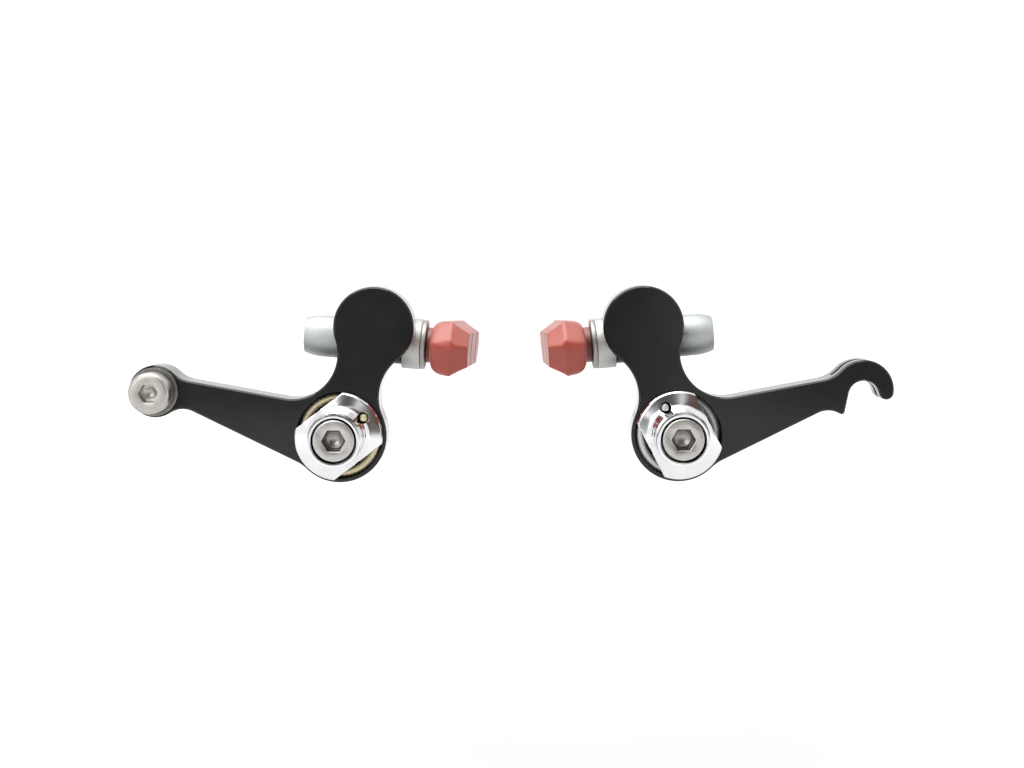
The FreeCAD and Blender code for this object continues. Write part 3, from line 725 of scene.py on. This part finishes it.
# %% Turn the caps
CAP_FLANGE_RADIUS = 10.7
CAP_RIM_HEIGHT = 2.0
CAP_RIM_EDGE = 0.35
CAP_FALL = 11.5
CAP_FOOT_RADIUS = 2.2
CAP_COLLAR_RADIUS = 6.3
CAP_HEIGHT = 12.0
CAP_COUNTERBORE_RADIUS = 5.45
CAP_SEAT = 6.2
CLEARANCE_RADIUS = 3.2
CAP_FLATS = 15.5
CAP_EDGE = 0.15
CAP_ANGLES = {"left": 37, "right": 63}
LEG_HOLE_RADIUS = 1.4
LEG_HOLE_REACH = 7.65
CONE_STEPS = 6
FOOT_STEPS = 16
DRILL_STEPS = 48
CAP_REAR = -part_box("left_tension_cap")[1].y / MM


def flange_top():
    """The flange's cone from its rim, and the hollow curve from it to the collar's wall."""
    fall = math.radians(CAP_FALL)
    centre_radius = CAP_COLLAR_RADIUS + CAP_FOOT_RADIUS
    cone_end = centre_radius - CAP_FOOT_RADIUS * math.sin(fall)
    rise = (CAP_FLANGE_RADIUS - cone_end) * math.tan(fall)
    cone_top = CAP_RIM_HEIGHT + rise
    centre_height = cone_top + CAP_FOOT_RADIUS * math.cos(fall)
    edge_height = CAP_RIM_HEIGHT + CAP_RIM_EDGE * math.tan(fall)
    return [
        (CAP_FLANGE_RADIUS, CAP_RIM_HEIGHT - CAP_RIM_EDGE),
        *between((CAP_FLANGE_RADIUS - CAP_RIM_EDGE, edge_height), (cone_end, cone_top), CONE_STEPS),
        *arc((centre_radius, centre_height), CAP_FOOT_RADIUS, 270 - CAP_FALL, 180, FOOT_STEPS),
    ]


def tension_cap(name, angle):
    """A cap at the left pivot, turned by an angle from its flats being level."""
    cap = turned(
        name,
        [
            (CLEARANCE_RADIUS, 0),
            (CAP_FLANGE_RADIUS, 0),
            *flange_top(),
            (CAP_COLLAR_RADIUS, CAP_HEIGHT),
            (CAP_COUNTERBORE_RADIUS, CAP_HEIGHT),
            (CAP_COUNTERBORE_RADIUS, CAP_SEAT),
            (CLEARANCE_RADIUS, CAP_SEAT),
            (CLEARANCE_RADIUS, 0),
        ],
        solid=False,
    )
    for side in (1, -1):
        edit(cap, "SELECT")
        bpy.ops.mesh.bisect(
            plane_co=(0, side * CAP_FLATS / 2 * MM, 0),
            plane_no=(0, side, 0),
            use_fill=True,
            clear_outer=True,
        )
    close_up(cap)
    bpy.ops.mesh.primitive_cylinder_add(
        vertices=DRILL_STEPS,
        radius=LEG_HOLE_RADIUS * MM,
        depth=2 * CAP_HEIGHT * MM,
        location=(LEG_HOLE_REACH * MM, 0, 0),
    )
    combine(cap, bpy.context.object, "DIFFERENCE")
    round_edges(cap, CAP_EDGE)
    lifted = Matrix.Translation((0, 0, CAP_REAR * MM))
    return put(cap, pivot_place @ lifted @ Matrix.Rotation(math.radians(angle), 4, "Z"))


dress(tension_cap("left_turned_cap", CAP_ANGLES["left"]), "left_tension_cap")
spare = tension_cap("spare_cap", CAP_ANGLES["right"])
dress(turned_over(spare, "right_turned_cap"), "right_tension_cap")
bpy.data.objects.remove(spare)

# %% [markdown]
# ## Bolts
# The pivots and the cable anchor have socket head bolts. The head is turned with a rounded rim, and a
# hexagonal rod and a drill's cone are cut from it, as the tool that forms the socket leaves it. A real
# thread is a helix, but rings a pitch apart can't be told from it at this size, and they are turned
# along with the rest. A cutter reaches past the face that it opens.

# %% Shape of a bolt
HEAD_RADIUS = 5.0
HEAD_HEIGHT = 6.0
HEAD_STEPS = 6
HEXAGON_DEPTH = 3.0
DRILL_DEPTH = 1.1
DRILL_SHARE = 0.75
DRILL_OVERLAP = 0.01
SHANK_RADIUS = 3.0
THREAD_CREST = 2.97
THREAD_ROOT = 2.55
THREAD_PITCH = 1.0
TIP_BEVEL = 0.6
BOLT_EDGE = 0.18
PAST = 1.0


def thread(start, end):
    """Rings of crests and roots between two heights, half a pitch apart."""
    rings = round(2 * (end - start) / THREAD_PITCH)
    radii = itertools.cycle((THREAD_CREST, THREAD_ROOT))
    return [(r, start + (end - start) * i / rings) for i, r in zip(range(rings), radii)]


def socket_bolt(name, length, grip, rim, across):
    """A bolt along Z with its head's underside at the origin and the head's rim rounded."""
    bolt = turned(
        name,
        [
            (THREAD_CREST - TIP_BEVEL, -length),
            *thread(TIP_BEVEL - length, -grip),
            (SHANK_RADIUS, -grip),
            (SHANK_RADIUS, 0),
            (HEAD_RADIUS, 0),
            *arc((HEAD_RADIUS - rim, HEAD_HEIGHT - rim), rim, 0, 90, HEAD_STEPS),
        ],
        solid=True,
    )
    floor_height = HEAD_HEIGHT - HEXAGON_DEPTH
    combine(bolt, hexagon(across, floor_height, HEAD_HEIGHT + PAST), "DIFFERENCE")
    bpy.ops.mesh.primitive_cone_add(
        vertices=DRILL_STEPS,
        radius1=0,
        radius2=across / 2 * DRILL_SHARE * MM,
        depth=DRILL_DEPTH * MM,
        location=(0, 0, (floor_height - DRILL_DEPTH / 2 + DRILL_OVERLAP) * MM),
    )
    combine(bolt, bpy.context.object, "DIFFERENCE")
    round_edges(bolt, BOLT_EDGE)
    return bolt


print("bolts have a pitch of", THREAD_PITCH, "mm")

# %% [markdown]
# Each bolt takes its axis and the height of its head from the frame, so it sits in its cap or on its
# washer without any measuring. The anchor's bolt has a rounder head, a smaller key and its own
# finish.

# %% Turn the bolts
HEAD_ROUND = 0.45
HEXAGON_ACROSS = 5.0
PIVOT_LENGTH, PIVOT_GRIP = 16.0, 6.6
ANCHOR_HEAD_ROUND = 1.05
ANCHOR_HEXAGON_ACROSS = 4.2
ANCHOR_LENGTH, ANCHOR_GRIP = 12.0, 1.2


def middle(node):
    """The centre of a node's box."""
    low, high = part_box(node)
    return (low + high) / 2


def bolt_at(name, node, length, grip, rim=HEAD_ROUND, across=HEXAGON_ACROSS, look=None):
    """A bolt on the node's axis, whose head ends where the node's does."""
    centre = middle(node)
    head_top = -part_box(node)[0].y
    place = Matrix.Translation((centre.x, 0, centre.z)) @ FORWARD
    bolt = socket_bolt(name, length, grip, rim, across)
    put(bolt, place @ Matrix.Translation((0, 0, head_top - HEAD_HEIGHT * MM)))
    dress(bolt, node, look)


for side in ("left", "right"):
    bolt_at(f"{side}_socket_bolt", f"{side}_pivot_bolt", PIVOT_LENGTH, PIVOT_GRIP)
bolt_at(
    "left_cable_bolt",
    "left_anchor_bolt",
    ANCHOR_LENGTH,
    ANCHOR_GRIP,
    rim=ANCHOR_HEAD_ROUND,
    across=ANCHOR_HEXAGON_ACROSS,
    look="cable_bolt",
)

# %% [markdown]
# ## Washers, spacers and nuts
# These are short turned pieces. The spacer and the nut are cupped where they meet the domed washers,
# so the pad can tilt between them. The flat washer lies between the spacer and the pad. A tube could
# be hollowed with a ball, but one closed profile, turned round, gives the cup and the bore at once.

# %% Turn the spacers and washers
SPACER_RADIUS = 6.25
SPACER_END = 11.2
SPACER_MOUTH = 5.0
SPACER_SEAT = 8.27
WASHER_END = 12.3
PAD_WASHER_RADIUS = 6.1
SEAT_STEPS = 6
SPACER_EDGE, WASHER_EDGE = 0.3, 0.2


def ball_seat(sphere, start_radius, end_radius, way):
    """A profile along a ball seat about the clamp's centre, on one side of it or the other."""
    start, end = (math.degrees(math.acos(r / sphere)) for r in (start_radius, end_radius))
    return arc((0, 0), sphere, way * start, way * end, SEAT_STEPS)


def pair(piece, node):
    """Puts a piece of the pad's hardware at the left, and its mirror image at the right."""
    put(piece, stud_place)
    twin = turned_over(piece, piece.name.replace("left", "right"))
    dress(twin, f"right_{node}")
    dress(piece, f"left_{node}")


spacer_seat = ball_seat(SPACER_SEAT, CLEARANCE_RADIUS, SPACER_MOUTH, 1)
spacer = turned(
    "left_cupped_spacer",
    [
        *spacer_seat,
        (SPACER_RADIUS, spacer_seat[-1][1]),
        (SPACER_RADIUS, SPACER_END),
        (CLEARANCE_RADIUS, SPACER_END),
        spacer_seat[0],
    ],
    solid=False,
)
round_edges(spacer, SPACER_EDGE)
pair(spacer, "pad_spacer")
washer = turned(
    "left_flat_washer",
    [
        (CLEARANCE_RADIUS, SPACER_END),
        (PAD_WASHER_RADIUS, SPACER_END),
        (PAD_WASHER_RADIUS, WASHER_END),
        (CLEARANCE_RADIUS, WASHER_END),
        (CLEARANCE_RADIUS, SPACER_END),
    ],
    solid=False,
)
round_edges(washer, WASHER_EDGE)
pair(washer, "pad_washer")

# %% [markdown]
# The nut is a barrel with a ball seat at its inner end. Its outer end is crowned and has a hexagon for
# the key. A lathe can't cut a hexagon, so the barrel is turned first and the rod cuts the socket.

# %% Turn the nuts
NUT_RADIUS = 5.1
NUT_SEAT = 8.92
NUT_BORE = 2.93
NUT_MOUTH = 4.4
NUT_END = 17.8
NUT_TAPER = 4.5
NUT_END_RADIUS = 4.28
NUT_SOCKET_DEPTH = 3.8
NUT_SOCKET_OVERLAP = 0.2
NUT_EDGE = 0.2


def crown():
    """The nut's curve from its straight barrel to its end."""
    drop = NUT_RADIUS - NUT_END_RADIUS
    radius = (NUT_TAPER**2 + drop**2) / (2 * drop)
    turn = math.degrees(math.asin(NUT_TAPER / radius))
    return arc((NUT_RADIUS - radius, NUT_TAPER - NUT_END), radius, 0, -turn)


nut_seat = ball_seat(NUT_SEAT, NUT_BORE, NUT_MOUTH, -1)
socket_floor = NUT_SOCKET_DEPTH - NUT_END
nut = turned(
    "left_barrel_nut",
    [
        (NUT_BORE, socket_floor),
        *nut_seat,
        (NUT_RADIUS, nut_seat[-1][1]),
        *crown(),
    ],
    solid=True,
)
socket = hexagon(HEXAGON_ACROSS, -NUT_END - PAST, socket_floor + NUT_SOCKET_OVERLAP)
combine(nut, socket, "DIFFERENCE")
round_edges(nut, NUT_EDGE)
pair(nut, "pad_nut")

# %% [markdown]
# ## Springs
# A spring is round wire bent to a leg, a coil and another leg. It could be drawn as a curve with a
# round bevel, but the frame already holds its path, as a chain of short straight lengths with mitred
# corners. A copy of that chain, with its doubled points joined and its triangles paired into quads,
# becomes smooth round wire under a subdivision surface.

# %% Round the springs' wire
PAIRING_TURN = math.radians(60)
WIRE_LEVELS = 2


def smooth_wire(name, node):
    """Round wire along the straight lengths of a node."""
    wire = bpy.data.objects.new(name, nodes[node].data.copy())
    bpy.context.collection.objects.link(wire)
    close_up(wire)
    edit(wire, "SELECT")
    bpy.ops.mesh.tris_convert_to_quads(face_threshold=PAIRING_TURN, shape_threshold=PAIRING_TURN)
    modify(wire, "SUBSURF", levels=WIRE_LEVELS, render_levels=WIRE_LEVELS)
    bpy.ops.object.shade_smooth()
    dress(wire, node)


for side in ("left", "right"):
    smooth_wire(f"{side}_coiled_wire", f"{side}_return_spring")

# %% [markdown]
# ## Brake pads
# A pad is a bar of rubber, widest at a ledge where the mould's halves meet, round at its back and
# narrow at the braking face, with a blunt pyramid at either end. It could be sculpted, but its facets
# are flat and regular. So the bar starts as a cube: bisect adds the ledge's two lines, each row of
# corners is scaled to its height, and the back is bevelled round.

# %% The pad's bar
PAD_LENGTH = 53.0
PAD_BACK = 14.8
PAD_PARTING = 19.8
PAD_FACE = 24.0
PAD_BACK_HALF = 6.4
PAD_PARTING_HALF = 6.6
LEDGE_WIDTH = 0.4
LEDGE_HALF = 6.15
PAD_FACE_HALF = 4.0
PAD_BACK_ROUND = 2.8
BACK_STEPS = 8
NEAR = 0.01


def block(low, high):
    """A box between two corners in millimetres."""
    low, high = Vector(low) * MM, Vector(high) * MM
    bpy.ops.object.select_all(action="DESELECT")
    bpy.ops.mesh.primitive_cube_add(size=1, location=(low + high) / 2)
    bpy.context.object.scale = high - low
    bpy.ops.object.transform_apply()
    return bpy.context.object


def pad_bar():
    """The pad's bar with its section shaped along its whole length."""
    end = PAD_LENGTH / 2
    bar = block((PAD_BACK, -end, -PAD_BACK_HALF), (PAD_FACE, end, PAD_BACK_HALF))
    ledge = ((PAD_PARTING, PAD_PARTING_HALF), (PAD_PARTING + LEDGE_WIDTH, LEDGE_HALF))
    for depth, _ in ledge:
        edit(bar, "SELECT")
        bpy.ops.mesh.bisect(plane_co=(depth * MM, 0, 0), plane_no=(1, 0, 0))
    for depth, half in (*ledge, (PAD_FACE, PAD_FACE_HALF)):
        select_points(bar, lambda p: abs(p.x - depth) < NEAR)
        bpy.ops.transform.resize(value=(1, 1, half / PAD_BACK_HALF), center_override=(0, 0, 0))
    edit(bar)
    bpy.ops.mesh.select_mode(type="EDGE")
    bpy.ops.object.mode_set(mode="OBJECT")
    points = bar.data.vertices
    for edge in bar.data.edges:
        a, b = (points[i].co / MM for i in edge.vertices)
        edge.select = max(a.x, b.x) < PAD_BACK + NEAR and abs(a.z - b.z) < NEAR
    bpy.ops.object.mode_set(mode="EDIT")
    bpy.ops.mesh.bevel(offset=PAD_BACK_ROUND * MM, segments=BACK_STEPS, affect="EDGES")
    return bar


print("the bar is", PAD_LENGTH, "mm long")

# %% [markdown]
# Four planes at either end cut the bar's noses, since a bisect that clears one side leaves a flat
# facet at an exact slope. The neck, which the stud runs through, is joined on, and two water grooves
# are cut across the braking face.

# %% Noses, neck and grooves
NOSE_REACH = 27.75
NOSE_SLOPE_UP = 1.1
NOSE_SLOPE_FACE = 0.75
NOSE_SLOPE_BACK = 0.4
NOSE_RISE = 0.8
NECK_RADIUS = 4.4
NECK_STEPS = 64
GROOVE_WIDTH = 1.6
GROOVE_DEPTH = 2.0
GROOVE_PITCH = 18.0


def sharp_pad():
    """The pad as the mould would be cut, with every edge still sharp."""
    pad = pad_bar()
    for across, along, upward in itertools.product((1, -1), repeat=3):
        slope = NOSE_SLOPE_FACE if across > 0 else NOSE_SLOPE_BACK
        edit(pad, "SELECT")
        bpy.ops.mesh.bisect(
            plane_co=(PAD_PARTING * MM, along * NOSE_REACH * MM, NOSE_RISE * MM),
            plane_no=(across * slope, along, upward * NOSE_SLOPE_UP),
            use_fill=True,
            clear_outer=True,
        )
    close_up(pad)
    bpy.ops.mesh.primitive_cylinder_add(
        vertices=NECK_STEPS,
        radius=NECK_RADIUS * MM,
        depth=(PAD_PARTING - WASHER_END) * MM,
        location=((PAD_PARTING + WASHER_END) / 2 * MM, 0, 0),
        rotation=(0, math.radians(90), 0),
    )
    combine(pad, bpy.context.object, "UNION")
    for way in (1, -1):
        middle_y = way * GROOVE_PITCH / 2
        groove = block(
            (PAD_FACE - GROOVE_DEPTH, middle_y - GROOVE_WIDTH / 2, -2 * PAD_BACK_HALF),
            (PAD_FACE + PAST, middle_y + GROOVE_WIDTH / 2, 2 * PAD_BACK_HALF),
        )
        combine(pad, groove, "DIFFERENCE")
    return pad


print("the noses reach", NOSE_REACH, "mm from the middle")

# %% [markdown]
# A moulded edge is never sharp. A bevel can't follow so many slanting edges, so a fine remesh makes an
# even skin of the pad, and that is smoothed until it is soft, as rubber is: most behind the ledge,
# less in front of it, and least at the braking face and the neck.

# %% Mould the pads
REST_TWIST = 1.6
VOXEL = 0.22
BACK_MARGIN, NECK_MARGIN, LEDGE_MARGIN, FACE_MARGIN = 0.3, 0.4, 0.3, 0.8
BACK_ROUNDS, SIDE_ROUNDS, SKIN_ROUNDS = 250, 20, 4
SMOOTHING = 0.5


def soften(pad, test, rounds):
    """Smooths the points that pass a test, over and over."""
    only(pad)
    group = pad.vertex_groups.new(name="soft")
    group.add([v.index for v in pad.data.vertices if test(v.co / MM)], 1, "REPLACE")
    modify(pad, "SMOOTH", factor=SMOOTHING, iterations=rounds, vertex_group="soft")
    pad.vertex_groups.clear()


def off_neck(p):
    """Whether a point is on the bar and clear of the neck."""
    on_bar = p.x > PAD_BACK - BACK_MARGIN
    return on_bar and math.hypot(p.y, p.z) > NECK_RADIUS + NECK_MARGIN


def moulded_pad(name):
    """The left pad at its place, with its skin smoothed."""
    pad = sharp_pad()
    modify(pad, "REMESH", mode="VOXEL", voxel_size=VOXEL * MM)
    soften(pad, lambda p: off_neck(p) and p.x < PAD_PARTING - LEDGE_MARGIN, BACK_ROUNDS)
    soften(pad, lambda p: off_neck(p) and p.x < PAD_FACE - FACE_MARGIN, SIDE_ROUNDS)
    soften(pad, lambda p: True, SKIN_ROUNDS)
    bpy.ops.object.shade_smooth()
    pad.name = name
    print("pad of", [round(d / MM, 2) for d in pad.dimensions], "mm")
    return put(pad, pad_place @ Matrix.Rotation(math.radians(-REST_TWIST), 4, "X"))


pad = moulded_pad("left_moulded_pad")
dress(turned_over(pad, "right_moulded_pad"), "right_brake_pad")
dress(pad, "left_brake_pad")

# %% [markdown]
# ## The pieces that stay as they are
# The arms, bushings, sleeves, studs, domed washers and the anchor's washer already have their true
# shape in the frame, so they only take their finish.

# %% Dress the frame's own pieces
for node, piece in nodes.items():
    if not piece.hide_render:
        piece.data.materials.clear()
        piece.data.materials.append(finish[slot_of_node[node]])
        print(node, "is", slot_of_node[node])
